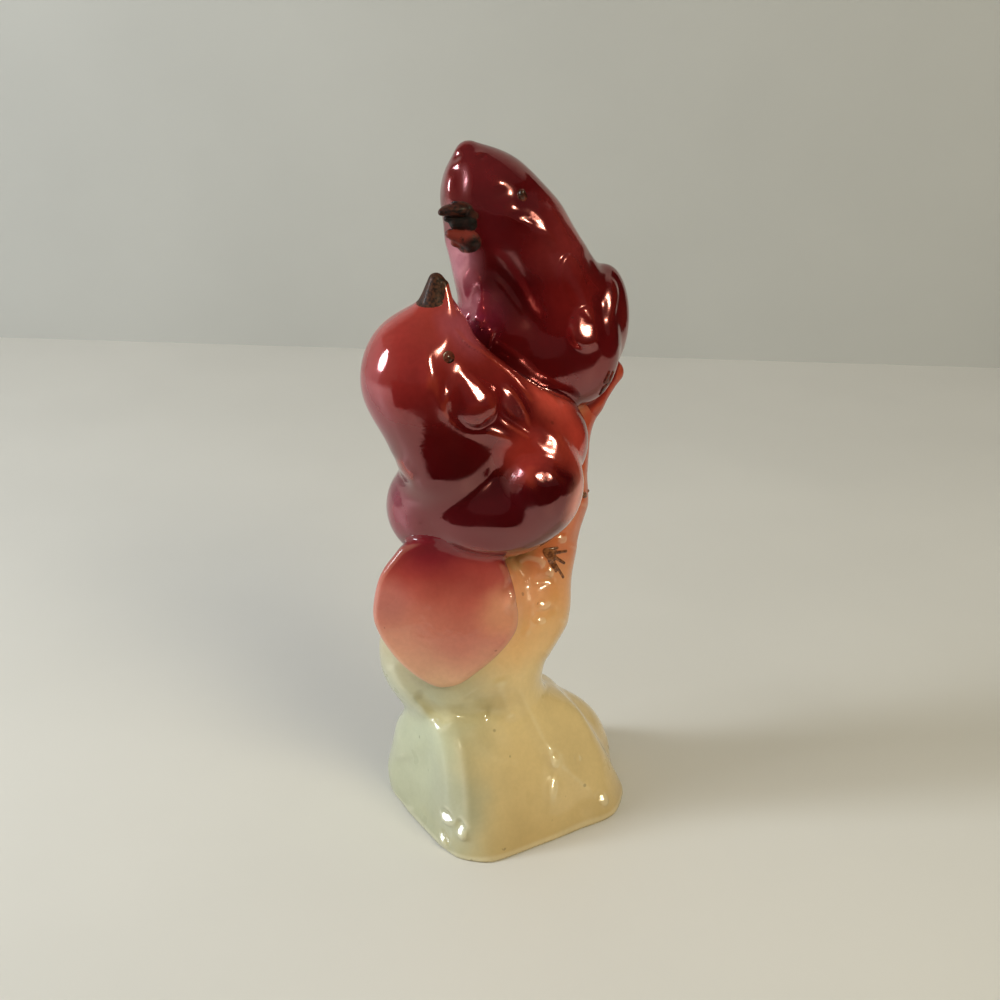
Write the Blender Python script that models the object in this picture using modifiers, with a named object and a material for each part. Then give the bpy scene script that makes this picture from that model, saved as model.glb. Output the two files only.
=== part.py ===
"""Glazed figurine: a pair of birds on a tree stump.

Units are metres, +Z up, the front of the base faces -Y and the origin is the
middle of the footprint on the resting plane.  The figure is a hollow casting:
a stump with an open foot, a cut limb with a round end face, a short twig, and
two birds whose hollow bodies open into the stump through vent holes.  Beaks,
eyes, toes and tails are small solids set on or into the bodies.

The birds are laid out along a line that is turned LAYOUT_TURN from the front
of the base.  Positions below are millimetres in that turned layout: x along
the pair, y towards the back, z up.
"""
import math

import bpy
import bmesh
from mathutils import Matrix, Vector

# ---------------------------------------------------------------- dimensions
MM = 0.001
OVERALL_HEIGHT = 165.0        # foot to the crest of the upper bird
BASE_LENGTH = 50.0            # footprint of the block along X
BASE_DEPTH = 50.0             # footprint of the block along Y
MOUND_HEIGHT = 30.0
WALL = 3.4                    # cast wall
GAP = 0.3                     # joint gap between neighbouring pieces
VOXEL = 2.4                   # surface grain of the big modelled forms
VOXEL_FINE = 1.1              # surface grain of the small ones
VOXEL_HOLLOW = 4.0            # surface grain of the cast hollows
KEEP = 0.36                   # share of the grain kept once a form is smooth
LIMB_END_RADIUS = 17.2
LIMB_END_THICKNESS = 4.0
VENT_RADIUS = 3.0
EYE_RADIUS = 1.15
LAYOUT_TURN = math.radians(-31.0)
CENTRE_SHIFT = (-1.3, -4.4)   # brings the footprint's middle to the origin, mm

# ---------------------------------------------------------------- clean start
for old in list(bpy.data.objects):
    bpy.data.objects.remove(old, do_unlink=True)

figure = bpy.data.collections.new("bird_figurine")
helpers = bpy.data.collections.new("cutters")
bpy.context.scene.collection.children.link(figure)
bpy.context.scene.collection.children.link(helpers)

frame = bpy.data.objects.new("layout_frame", None)
frame.rotation_euler = (0.0, 0.0, LAYOUT_TURN)
frame.location = (CENTRE_SHIFT[0] * MM, CENTRE_SHIFT[1] * MM, 0.0)
figure.objects.link(frame)


# ---------------------------------------------------------------- materials
def glaze(name, colour, roughness):
    mat = bpy.data.materials.new(name)
    mat.use_nodes = True
    shader = mat.node_tree.nodes["Principled BSDF"]
    shader.inputs["Base Color"].default_value = (*colour, 1.0)
    shader.inputs["Roughness"].default_value = roughness
    shader.inputs["Metallic"].default_value = 0.0
    mat.diffuse_color = (*colour, 1.0)
    return mat


# ---------------------------------------------------------------- shape tools
def axes(heading, climb):
    """Local x along a heading (degrees, 0 = +x, 90 = back) and a climb."""
    turn = Matrix.Rotation(math.radians(heading), 4, "Z")
    lift = Matrix.Rotation(math.radians(-climb), 4, "Y")
    return turn @ lift


def ball(centre, radii, heading=0.0, climb=0.0):
    """An ellipsoid."""
    return ("ball", centre, radii, heading, climb)


def stick(start, end, r_start, r_end):
    """A tapered rod with round ends."""
    return ("stick", start, end, r_start, r_end)


def add_ball(bm, centre, radii, heading, climb, fine=1):
    place = Matrix.Translation(Vector(centre) * MM) @ axes(heading, climb)
    place = place @ Matrix.Diagonal((radii[0] * MM, radii[1] * MM, radii[2] * MM, 1.0))
    bmesh.ops.create_uvsphere(bm, u_segments=24 * fine, v_segments=12 * fine, radius=1.0, matrix=place)


def add_stick(bm, start, end, r_start, r_end):
    a, b = Vector(start) * MM, Vector(end) * MM
    along = b - a
    length = along.length
    lean = along.to_track_quat("Z", "Y").to_matrix().to_4x4()
    # the two end balls touch the cone where their tangents match
    sine = max(-0.95, min(0.95, (r_start - r_end) * MM / length))
    cosine = math.sqrt(1.0 - sine * sine)
    low = a + along.normalized() * (r_start * MM * sine)
    high = b + along.normalized() * (r_end * MM * sine)
    middle = Matrix.Translation((low + high) * 0.5) @ lean
    bmesh.ops.create_cone(bm, cap_ends=True, cap_tris=False, segments=24,
                          radius1=r_start * MM * cosine, radius2=r_end * MM * cosine,
                          depth=(high - low).length, matrix=middle)
    for point, radius in ((a, r_start), (b, r_end)):
        bmesh.ops.create_uvsphere(bm, u_segments=24, v_segments=14, radius=radius * MM,
                                  matrix=Matrix.Translation(point) @ lean)


def finish_mesh(name, bm, collection):
    mesh = bpy.data.meshes.new(name)
    bmesh.ops.recalc_face_normals(bm, faces=bm.faces)
    bm.to_mesh(mesh)
    bm.free()
    obj = bpy.data.objects.new(name, mesh)
    collection.objects.link(obj)
    obj.parent = frame
    return obj


def hide_helper(obj):
    obj.hide_render = True
    obj.display_type = "WIRE"
    return obj


def soften(obj, voxel, passes, keep):
    """Melts overlapping balls and sticks into one skin, then thins its grain."""
    grain = obj.modifiers.new("one_skin", "REMESH")
    grain.mode = "VOXEL"
    grain.voxel_size = voxel * MM
    if passes:
        smooth = obj.modifiers.new("soft", "SMOOTH")
        smooth.factor = 0.5
        smooth.iterations = passes
    if keep < 1.0:
        thin = obj.modifiers.new("thin", "DECIMATE")
        thin.decimate_type = "COLLAPSE"
        thin.ratio = keep


def bake(obj):
    """Fixes the modelled skin, so that later cuts read a plain mesh."""
    bpy.context.view_layer.update()
    graph = bpy.context.evaluated_depsgraph_get()
    solid = bpy.data.meshes.new_from_object(obj.evaluated_get(graph))
    obj.modifiers.clear()
    obj.data = solid
    return obj


def form(name, shapes, collection=figure, voxel=VOXEL, passes=6, extra=None, keep=KEEP):
    """A modelled form: balls and sticks melted together and smoothed."""
    bm = bmesh.new()
    for shape in shapes:
        if shape[0] == "ball":
            add_ball(bm, *shape[1:])
        else:
            add_stick(bm, *shape[1:])
    if extra is not None:
        extra(bm)
    obj = finish_mesh(name, bm, collection)
    soften(obj, voxel, passes, keep)
    return bake(obj)


def swollen(obj, amount=GAP, name=None):
    """A cutter that is obj grown by the joint gap."""
    copy = bpy.data.objects.new(name or obj.name + "_clearance", obj.data.copy())
    helpers.objects.link(copy)
    copy.parent = frame
    grow = copy.modifiers.new("grow", "DISPLACE")
    grow.mid_level = 0.0
    grow.strength = amount * MM
    return hide_helper(bake(copy))


def cut(obj, cutter, operation="DIFFERENCE"):
    boolean = obj.modifiers.new("cut_" + cutter.name, "BOOLEAN")
    boolean.operation = operation
    boolean.solver = "EXACT"
    boolean.object = cutter


def rod_cutter(name, start, end, radius, segments=20):
    a, b = Vector(start) * MM, Vector(end) * MM
    bm = bmesh.new()
    lean = (b - a).to_track_quat("Z", "Y").to_matrix().to_4x4()
    bmesh.ops.create_cone(bm, cap_ends=True, cap_tris=False, segments=segments,
                          radius1=radius * MM, radius2=radius * MM, depth=(b - a).length,
                          matrix=Matrix.Translation((a + b) * 0.5) @ lean)
    return hide_helper(finish_mesh(name, bm, helpers))


def block_cutter(name, low, high, turn=None):
    size = Vector(high) - Vector(low)
    middle = (Vector(low) + Vector(high)) * 0.5
    place = Matrix.Translation(middle * MM) @ Matrix.Diagonal((size.x * MM, size.y * MM, size.z * MM, 1.0))
    bm = bmesh.new()
    bmesh.ops.create_cube(bm, size=1.0, matrix=(turn @ place) if turn else place)
    return hide_helper(finish_mesh(name, bm, helpers))


SQUARE = Matrix.Rotation(-LAYOUT_TURN, 4, "Z")   # the base is square to the part's own axes


def square(x, y, z):
    """A point given square to the base, in layout millimetres."""
    return tuple(SQUARE @ Vector((x, y, z)))


def add_mound(bm, inset, foot, top):
    """Block with leaning sides: upright on the left, spread to the right and front.

    Its full length and depth lie in the resting plane."""
    half_x, half_y = BASE_LENGTH / 2 - inset, BASE_DEPTH / 2 - inset
    made = bmesh.ops.create_cube(bm, size=1.0)["verts"]
    for vert in made:
        right, back, high = vert.co.x > 0, vert.co.y > 0, vert.co.z > 0
        x = half_x + 1.5 if right else -half_x
        y = half_y - 3.0 if back else -half_y
        level = top if high else foot
        x += -0.44 * level if right else 0.12 * level
        y += -0.40 * level if back else 0.50 * level
        vert.co = Vector(square(x, y, top if high else foot)) * MM
    edges = {edge for vert in made for edge in vert.link_edges}
    bmesh.ops.bevel(bm, geom=list(edges), offset=6.0 * MM, segments=2, affect="EDGES", profile=0.6)


# ---------------------------------------------------------------- stump
stump = form("stump_base", [
    stick((0, -1, 20), (0, 0, 46), 10.5, 9.5),                 # waist
    stick((7, 11, 18), (18, 17, 3), 7.0, 7.0),                 # back root
    ball(square(19, 3, 3), (14, 15, 19), 30),                  # spread foot on the right
    stick(square(-14, -12, 22), square(-19, -21, 3), 6.5, 6.0),   # front left root
    stick(square(8, -12, 20), square(19, -19, 3), 5.5, 5.5),      # front right root
    stick((-5.5, 0, 41), (6, 4, 51), 16.0, 10.5),              # limb spreads from the waist
    stick((6, 4, 51), (13, 8, 78), 10.5, 8.0),                 # trunk behind the lower bird
    stick((13, 8, 78), (15, 13, 96), 8.0, 6.5),
    stick((-12.5, -11, 57), (-7, 3, 53), 16.6, 16.0),          # cut limb
    ball((-12, -3, 43), (18, 15, 18)),                         # swollen underside of the limb
], extra=lambda bm: add_mound(bm, 0.0, -6.0, MOUND_HEIGHT), passes=5)

hollow = form("stump_hollow", [
    stick((0, -1, 18), (0, 0, 46), 6.6, 6.0),
    stick((-4, 0, 43), (6, 4, 52), 10.5, 6.5),
    stick((6, 4, 52), (12.8, 8, 76), 6.5, 4.6),
    stick((12.8, 8, 76), (14.5, 12, 90), 4.6, 3.4),
    ball((-12, -1, 54), (12.5, 8.5, 12.5)),
    ball((-12, -2, 43), (13.5, 10.5, 13.5)),
    ball(square(19, 3, 2), (10.5, 11.5, 14.5), 30),
], extra=lambda bm: add_mound(bm, WALL * 1.1, -9.0, MOUND_HEIGHT - WALL - 2.0),
    collection=helpers, voxel=VOXEL_HOLLOW * 0.8, passes=2, keep=0.5)
hide_helper(hollow)

ground = block_cutter("ground", (-60, -60, -20), (60, 60, 0))
# the limb is sawn off flat behind its end face
LIMB_AXIS = Vector((-0.05, -1.0, 0.08)).normalized()
LIMB_END_CENTRE = Vector((-13.0, -15.0, 57.0))
saw_turn = LIMB_AXIS.to_track_quat("Z", "X").to_matrix().to_4x4()
saw_place = Matrix.Translation(LIMB_END_CENTRE * MM) @ saw_turn
saw = block_cutter("saw_cut", (-20, -20, -LIMB_END_THICKNESS / 2 - GAP), (20, 20, 24))
saw.data.transform(saw_place)

# ---------------------------------------------------------------- limb end face
bm = bmesh.new()
rim = bmesh.ops.create_cone(bm, cap_ends=True, cap_tris=False, segments=36,
                            radius1=LIMB_END_RADIUS * MM, radius2=LIMB_END_RADIUS * MM,
                            depth=LIMB_END_THICKNESS * MM, matrix=saw_place)
edges = [e for e in bm.edges if len(e.link_faces) == 2 and
         any(len(f.verts) > 4 for f in e.link_faces)]
bmesh.ops.bevel(bm, geom=edges, offset=1.2 * MM, segments=2, affect="EDGES", profile=0.5)
limb_end = finish_mesh("limb_end_disc", bm, figure)

# ---------------------------------------------------------------- twig
twig = form("twig_stub", [
    stick((15.5, 12, 92), (22, 14.5, 100), 4.6, 3.2),
    stick((22, 14.5, 100), (27.5, 17, 108), 3.2, 2.3),
], voxel=VOXEL_FINE, passes=3)

# ---------------------------------------------------------------- lower bird
lower = form("lower_bird_body", [
    ball((-18.3, -8, 114.6), (12.8, 13, 15)),                  # head, thrown back
    stick((-14.7, -8, 123.4), (-13.4, -8, 129.5), 8.3, 3.6),   # face rising to the beak
    stick((-17.4, -8, 103.8), (-11.6, -7, 95), 12, 12),        # throat
    stick((-10.9, -7, 111.9), (3.5, -4, 98.3), 11.5, 12.5),    # nape
    ball((7.4, -9, 87), (13, 13.5, 14.5)),                     # near side of the breast
    ball((11.4, 2, 95.4), (9.5, 11, 11.5)),                    # far side of the breast
    ball((-15.1, -6, 81.3), (12, 14, 13)),                     # flank
    ball((-2.4, 4, 84.5), (18, 15, 16)),                       # back
    ball((-4.7, -6, 76.9), (18, 15, 11)),                      # belly
], passes=5)
lower_hollow = form("lower_hollow", [
    ball((0, -3, 84), (13, 9.5, 12)),
    stick((-6, -5, 90), (-17.5, -8, 112), 8.0, 7.5),
], collection=helpers, voxel=VOXEL_HOLLOW, passes=2, keep=0.6)
hide_helper(lower_hollow)

lower_beak = form("lower_bird_beak", [
    stick((-13.5, -8, 127), (-14.1, -8, 136.2), 3.7, 1.4),
], voxel=VOXEL_FINE * 0.8, passes=2)

lower_tail = form("lower_bird_tail", [
    ball((-17.5, 8, 80), (9, 8, 6.5), 102, -50),               # root of the tail
    ball((-19.5, 17, 70), (15, 7.5, 4), 102, -50),             # closed fan of feathers
], voxel=VOXEL_FINE * 1.5, passes=4)

# ---------------------------------------------------------------- upper bird
upper = form("upper_bird_body", [
    ball((0.7, 12, 147.3), (16.5, 10.5, 11.2), 0, -52),        # head
    stick((-2.7, 12, 152.5), (-7.2, 12, 162.6), 7.5, 3.4),     # crest
    ball((-6.9, 12, 149.6), (6.2, 8, 9.5)),                    # forehead
    stick((5.8, 12, 142.2), (14.2, 14, 126.3), 10.5, 12),      # nape
    ball((25, 17, 121.1), (6, 8, 13)),                         # far side of the breast
    ball((19.4, 10, 116.4), (9, 9, 14)),                       # near side of the breast
    stick((-6, 10, 141.4), (0.9, 10, 120.1), 6.5, 9),          # throat
    ball((10.8, 14, 112.8), (15, 13, 14)),                     # back and belly
], passes=5)
upper_hollow = form("upper_hollow", [
    ball((11.5, 13, 115), (12, 8.5, 10.5)),
    stick((9, 13, 122), (1, 12, 145), 8.0, 5.5),
], collection=helpers, voxel=VOXEL_HOLLOW, passes=2, keep=0.6)
hide_helper(upper_hollow)

upper_mandible = form("upper_bird_beak_upper", [
    stick((-5.5, 4.8, 147.9), (-13.0, -0.6, 149.0), 2.6, 1.2),
], voxel=VOXEL_FINE * 0.8, passes=2)
lower_mandible = form("upper_bird_beak_lower", [
    stick((-5.5, 5.0, 142.3), (-11.4, 0.3, 142.7), 2.5, 1.2),
], voxel=VOXEL_FINE * 0.8, passes=2)

upper_tail = form("upper_bird_tail", [
    ball((2, 22, 115), (9, 8, 6.5), 104, -42),                 # root of the tail
    ball((-0.5, 29, 108), (14, 7.5, 4), 104, -42),             # closed fan of feathers
], voxel=VOXEL_FINE * 1.5, passes=4)


# ---------------------------------------------------------------- fitting
def on_skin(obj, point, sink=0.0):
    """The nearest point of obj's skin, sunk below it by sink millimetres."""
    found, place, normal, _face = obj.closest_point_on_mesh(Vector(point) * MM)
    return tuple((place - normal * sink * MM) / MM)


cut(stump, saw)
bake(stump)
stump_room = swollen(stump, GAP * 1.6)
limb_end_room = swollen(limb_end)

cut(twig, stump_room)
bake(twig)
twig_room = swollen(twig)

cut(lower, stump_room)
cut(lower, limb_end_room)
bake(lower)
lower_room = swollen(lower, GAP * 1.4)

cut(upper, stump_room)
cut(upper, twig_room)
cut(upper, lower_room)
bake(upper)
upper_room = swollen(upper, GAP * 1.4)

cut(lower_beak, lower_room)
cut(upper_mandible, upper_room)
cut(lower_mandible, upper_room)
cut(lower_tail, lower_room)
cut(lower_tail, stump_room)
cut(upper_tail, upper_room)


# ---------------------------------------------------------------- eyes
def eye(name, near, head):
    """A bead sunk to about half in a shallow round socket."""
    centre = Vector(on_skin(head, near, 0.25))
    bm = bmesh.new()
    bmesh.ops.create_uvsphere(bm, u_segments=14, v_segments=8, radius=EYE_RADIUS * MM,
                              matrix=Matrix.Translation(centre * MM))
    bead = finish_mesh(name, bm, figure)
    bm = bmesh.new()
    bmesh.ops.create_uvsphere(bm, u_segments=14, v_segments=8, radius=(EYE_RADIUS + GAP) * MM,
                              matrix=Matrix.Translation(centre * MM))
    cut(head, hide_helper(finish_mesh(name + "_socket", bm, helpers)))
    return bead


beads = [
    eye("lower_bird_eye_left", (-11.3, -17.4, 121.5), lower),
    eye("lower_bird_eye_right", (-11.3, 1.4, 121.5), lower),
    eye("upper_bird_eye_left", (4.7, 3.4, 152.7), upper),
    eye("upper_bird_eye_right", (-6.9, 20.2, 152.7), upper),
]


# ---------------------------------------------------------------- toes
def toes(name, support, runs, clear_of):
    """Low relief toes: thin rods laid along the bark."""
    rods = []
    for start, end in runs:
        rods.append(stick(on_skin(support, start), on_skin(support, end), 1.25, 0.85))
    foot = form(name, rods, voxel=0.6, passes=1)
    for room in clear_of:
        cut(foot, room)
    return foot


lower_right_foot = toes("lower_bird_foot_right", stump, [
    ((11.3, -2.3, 68.0), (16.0, -0.3, 67.1)),
    ((11.3, -2.3, 68.0), (15.3, -1.0, 63.7)),
    ((11.3, -2.3, 68.0), (14.6, -1.4, 60.8)),
], (stump_room, lower_room))
lower_left_foot = toes("lower_bird_foot_left", stump, [
    ((19.6, 5.2, 85.0), (20.4, 8.0, 82.0)),
    ((19.6, 5.2, 85.0), (20.6, 4.6, 79.3)),
], (stump_room, lower_room))
upper_foot = toes("upper_bird_foot", twig, [
    ((23.5, 12.0, 102.5), (27.6, 14.7, 107.6)),
    ((23.5, 12.0, 102.5), (26.5, 13.6, 102.0)),
], (twig_room, upper_room, stump_room))

# ---------------------------------------------------------------- hollows
cut(stump, hollow)
cut(stump, ground)
lower_vent = rod_cutter("lower_vent", (-7, -4, 84), (-7, -4, 52), VENT_RADIUS)
upper_vent = rod_cutter("upper_vent", (14.2, 11.6, 113), (14.2, 11.6, 86), VENT_RADIUS)
cut(stump, lower_vent)
cut(stump, upper_vent)
cut(lower, lower_hollow)
cut(lower, lower_vent)
cut(lower, upper_vent)
cut(upper, upper_hollow)
cut(upper, upper_vent)

# ---------------------------------------------------------------- finishes
FINISH = {
    "stump_base": ("glaze_cream", (0.80, 0.74, 0.52), 0.12),
    "limb_end_disc": ("glaze_salmon", (0.78, 0.42, 0.32), 0.14),
    "twig_stub": ("glaze_russet", (0.66, 0.20, 0.12), 0.12),
    "lower_bird_body": ("glaze_rose", (0.50, 0.07, 0.09), 0.10),
    "lower_bird_tail": ("glaze_rose_tail", (0.46, 0.07, 0.09), 0.10),
    "lower_bird_beak": ("paint_brown_beak", (0.12, 0.06, 0.03), 0.35),
    "lower_bird_eye_left": ("paint_brown_eye_a", (0.10, 0.05, 0.03), 0.18),
    "lower_bird_eye_right": ("paint_brown_eye_b", (0.10, 0.05, 0.03), 0.18),
    "lower_bird_foot_right": ("paint_brown_foot_a", (0.25, 0.12, 0.05), 0.30),
    "lower_bird_foot_left": ("paint_brown_foot_b", (0.25, 0.12, 0.05), 0.30),
    "upper_bird_body": ("glaze_maroon", (0.26, 0.02, 0.05), 0.10),
    "upper_bird_tail": ("glaze_maroon_tail", (0.24, 0.02, 0.05), 0.10),
    "upper_bird_beak_upper": ("paint_brown_beak_b", (0.11, 0.05, 0.03), 0.35),
    "upper_bird_beak_lower": ("paint_brown_beak_c", (0.20, 0.08, 0.04), 0.35),
    "upper_bird_eye_left": ("paint_brown_eye_c", (0.09, 0.04, 0.03), 0.18),
    "upper_bird_eye_right": ("paint_brown_eye_d", (0.09, 0.04, 0.03), 0.18),
    "upper_bird_foot": ("paint_brown_foot_c", (0.22, 0.10, 0.05), 0.30),
}
for obj in figure.objects:
    if obj.type != "MESH":
        continue
    finish = FINISH[obj.name]
    obj.data.materials.clear()
    obj.data.materials.append(glaze(*finish))
    obj.data.shade_smooth()
    obj.data.set_sharp_from_angle(angle=math.radians(50))
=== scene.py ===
"""Glazed ceramic figurine: two birds on a stump.  Surfaces are sculpted as smooth distance
fields in millimetres, in a layout turned to the picture's heading, then meshed and set on the
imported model's frame.  One glaze runs over the whole casting: ivory at the foot, salmon on the
limb, rose red on the near bird and deep maroon on the far one, thin on ridges and pooled in
folds.  Beaks, eyes and toes are painted brown."""

import bpy
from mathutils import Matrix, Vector

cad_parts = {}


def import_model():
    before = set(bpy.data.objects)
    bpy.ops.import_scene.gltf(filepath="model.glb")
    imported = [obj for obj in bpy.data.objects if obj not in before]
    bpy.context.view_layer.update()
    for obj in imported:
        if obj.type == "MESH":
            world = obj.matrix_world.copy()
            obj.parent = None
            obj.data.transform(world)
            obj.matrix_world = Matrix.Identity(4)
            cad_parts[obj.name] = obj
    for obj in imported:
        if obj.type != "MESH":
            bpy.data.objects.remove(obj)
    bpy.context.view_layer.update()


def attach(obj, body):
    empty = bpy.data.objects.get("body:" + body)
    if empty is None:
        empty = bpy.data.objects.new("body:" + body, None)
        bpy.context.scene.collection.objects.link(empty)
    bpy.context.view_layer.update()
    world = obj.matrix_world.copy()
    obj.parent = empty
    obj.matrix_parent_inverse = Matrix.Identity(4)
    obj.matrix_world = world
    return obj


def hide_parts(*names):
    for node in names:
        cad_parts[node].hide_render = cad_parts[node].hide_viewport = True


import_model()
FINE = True
import math
import numpy as np

F32 = np.float32

# ---------------------------------------------------------------- the picture's geometry
FOCAL = 1450.0                       # focal length in picture widths / 1000
TILT = math.radians(22.0)            # the camera looks down by this much
BACK, UP = 322.0, 211.0              # camera place behind and above the figure's axis, mm
TURN = math.radians(-31.0)           # the figure's own axes against the camera's heading
SHIFT = (-1.3, -4.4)                 # puts the origin under the middle of the figure, mm
CT, ST = math.cos(TILT), math.sin(TILT)


def place(az, el, dist):
    """A place in the room: az degrees right of the camera's side, el above, seen from mid height."""
    a, e = math.radians(az), math.radians(el)
    return np.array([math.sin(a) * math.cos(e) * dist, -math.cos(a) * math.cos(e) * dist, 95 + math.sin(e) * dist])


WINDOW = place(-82, 20, 750)
LAMP = place(37, 35, 800)
DIM = place(5, 56, 800)
TABLE = np.array([-60.0, -125.0, 0.0])


def P(u, v, y):
    """Point seen at picture place (u, v) at depth y; x right, y away, z up, mm."""
    a, b = (u - 500) / FOCAL, (500 - v) / FOCAL
    t = (BACK + y) / (b * ST + CT)
    return np.array([a * t, y, UP + (b * CT - ST) * t])


def seen(p):
    """Picture place of points."""
    y, z = p[..., 1] + F32(BACK), p[..., 2] - F32(UP)
    w = y * F32(CT) - z * F32(ST)
    h = y * F32(ST) + z * F32(CT)
    return 500 + F32(FOCAL) * p[..., 0] / w, 500 - F32(FOCAL) * h / w


def square(x, y, z):
    """A point given along the foot's own edges."""
    c, s = math.cos(-TURN), math.sin(-TURN)
    return np.array([c * x - s * y, s * x + c * y, z])


def axes(heading, climb, roll=0.0):
    a, e, r = (math.radians(v) for v in (heading, climb, roll))
    x = np.array([math.cos(a) * math.cos(e), math.sin(a) * math.cos(e), math.sin(e)])
    y = np.array([-math.sin(a), math.cos(a), 0.0])
    z = np.cross(x, y)
    return np.stack([x, y * math.cos(r) + z * math.sin(r), z * math.cos(r) - y * math.sin(r)], 1)


# ---------------------------------------------------------------- distance fields, mm
def ball(c, r, heading=0.0, climb=0.0, roll=0.0):
    c, r = np.asarray(c, F32), np.asarray(r, F32)
    m = axes(heading, climb, roll).astype(F32)

    def f(p):
        a = ((p - c) @ m) / r
        b = a / r
        k0 = np.sqrt((a * a).sum(-1))
        return k0 * (k0 - 1) / np.maximum(np.sqrt((b * b).sum(-1)), 1e-6)
    return f


def rod(a, b, r1, r2):
    a, b = np.asarray(a, F32), np.asarray(b, F32)
    ba = b - a
    l2 = float((ba * ba).sum())
    rr = r1 - r2
    a2, il2 = l2 - rr * rr, 1 / l2

    def f(p):
        pa = p - a
        y = pa @ ba
        z = y - l2
        v = pa * l2 - y[..., None] * ba
        x2 = (v * v).sum(-1)
        y2, z2, k = y * y * l2, z * z * l2, np.sign(rr) * rr * rr * x2
        d = (np.sqrt(np.maximum(x2 * a2 * il2, 0)) + y * rr) * il2 - r1
        d = np.where(np.sign(z) * a2 * z2 > k, np.sqrt(np.maximum(x2 + z2, 0)) * il2 - r2, d)
        return np.where(np.sign(y) * a2 * y2 < k, np.sqrt(np.maximum(x2 + y2, 0)) * il2 - r1, d)
    return f


def plane(point, n):
    n = np.asarray(n, float)
    n = (n / np.linalg.norm(n)).astype(F32)
    d = F32(np.dot(n, point))
    return lambda p: p @ n - d


def plane_sq(point, n):
    return plane(square(*point), square(*n))


def smin(a, b, k):
    h = np.maximum(k - np.abs(a - b), 0) / k
    return np.minimum(a, b) - h * h * h * k / 6


def smax(a, b, k):
    return -smin(-a, -b, k)


def add(f, k=3.0):
    return ("add", f, k)


def cut(f, k=1.5):
    return ("cut", f, k)


def keep(f, k=1.5):
    return ("keep", f, k)


def slope(fn, p, e=0.05):
    g = np.empty_like(p)
    for i in range(3):
        q = p.copy()
        q[:, i] += e
        hi = fn(q)
        q[:, i] -= 2 * e
        g[:, i] = (hi - fn(q)) / (2 * e)
    return g


class Form:
    """Soft unions, cuts and limits in order, then marks pressed into the surface."""

    def __init__(self, *steps, marks=None, facing=None):
        self.steps, self.marks, self.facing = steps, marks, facing
        self.leans = []

    def plain(self, p):
        d = None
        for kind, f, k in self.steps:
            v = f(p)
            if kind == "add":
                d = v if d is None else smin(d, v, k)
            elif kind == "cut":
                d = smax(d, -v, k)
            else:
                d = smax(d, v, k)
        return d

    def __call__(self, p):
        d = self.plain(p)
        if self.marks or self.leans:
            near = np.abs(d) < 5.0
            if near.any():
                q = p[near]
                h = self.marks(q) if self.marks else np.zeros(len(q), F32)
                if self.facing is not None:
                    h = h * np.clip(0.5 - self.facing(q) / 5.0, 0, 1)
                d = d.copy()
                for at, reach, turned in self.leans:
                    r = q - at
                    m = (r * r).sum(-1) < reach
                    if m.any():
                        h[m] += turned(r[m])
                d[near] -= h
        return d

    def lean(self, u, v, long, short, turn, to, flat=0.65, crisp=1.0):
        """Turns and flattens the surface seen at (u, v) to mirror the place 'to', in a long-by-short patch."""
        a, b = (u - 500) / FOCAL, (500 - v) / FOCAL
        ray = np.array([a, b * ST + CT, b * CT - ST])
        ray /= np.linalg.norm(ray)
        eye = np.array([0.0, -BACK, UP])
        t = 230.0
        for _ in range(80):
            s = float(self((eye + ray * t)[None].astype(F32))[0])
            t += s * 0.85
            if abs(s) < 0.003 or t > 430:
                break
        p = (eye + ray * t).astype(F32)
        n0 = slope(self, p[None], 0.12)[0]
        n0 /= max(np.linalg.norm(n0), 1e-6)
        way, home = np.asarray(to, float) - p, eye - p
        n1 = way / np.linalg.norm(way) + home / np.linalg.norm(home)
        n1 /= np.linalg.norm(n1)
        tip = n0 - n1 / max(float(n0 @ n1), 0.5)
        size = np.linalg.norm(tip)
        tip = (tip * min(1.0, 0.62 / max(size, 1e-6))).astype(F32)
        c, s = math.cos(math.radians(turn)), math.sin(math.radians(turn))
        e1 = np.array([c, -s * ST, -s * CT])                 # picture direction, turn clockwise from right
        e1 = e1 - n0 * (e1 @ n0)
        e1 /= np.linalg.norm(e1)
        e2 = np.cross(n0, e1)
        e1, e2, n32 = e1.astype(F32), e2.astype(F32), n0.astype(F32)
        near = np.stack([p, p + e1 * 0.8, p - e1 * 0.8, p + e2 * 0.8, p - e2 * 0.8]).astype(F32)
        d = self(near)
        b1, b2 = (F32(flat * 0.5 * np.clip((d[i] + d[i + 1] - 2 * d[0]) / 0.64, 0, 0.3)) for i in (1, 3))

        def turned(r):
            x, y = r @ e1, r @ e2
            w = (x / F32(long)) ** 2 + (y / F32(short)) ** 2 + (r @ n32 / F32(2.5)) ** 2
            return (r @ tip + b1 * x * x + b2 * y * y) * np.exp(-(w if crisp == 1.0 else w ** crisp))
        self.leans.append((p, (2.1 * max(long, short)) ** 2, turned))
        return self


def curve(pts, n=5):
    """Smooth line through the points."""
    pts = [np.asarray(q, float) for q in pts]
    if len(pts) < 3:
        return np.array(pts)
    ext = [2 * pts[0] - pts[1]] + pts + [2 * pts[-1] - pts[-2]]
    out = []
    for i in range(1, len(ext) - 2):
        a, b, c, d = ext[i - 1:i + 3]
        for j in range(n):
            t = j / n
            out.append(0.5 * (2 * b + (c - a) * t + (2 * a - 5 * b + 4 * c - d) * t * t
                              + (3 * b - a - 3 * c + d) * t ** 3))
    out.append(pts[-1])
    return np.array(out)


def loop(pts, n=4):
    pts = [np.asarray(q, float) for q in pts]
    m = len(pts)
    out = []
    for i in range(m):
        a, b, c, d = pts[(i - 1) % m], pts[i], pts[(i + 1) % m], pts[(i + 2) % m]
        for j in range(n):
            t = j / n
            out.append(0.5 * (2 * b + (c - a) * t + (2 * a - 5 * b + 4 * c - d) * t * t
                              + (3 * b - a - 3 * c + d) * t ** 3))
    return np.array(out)


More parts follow.
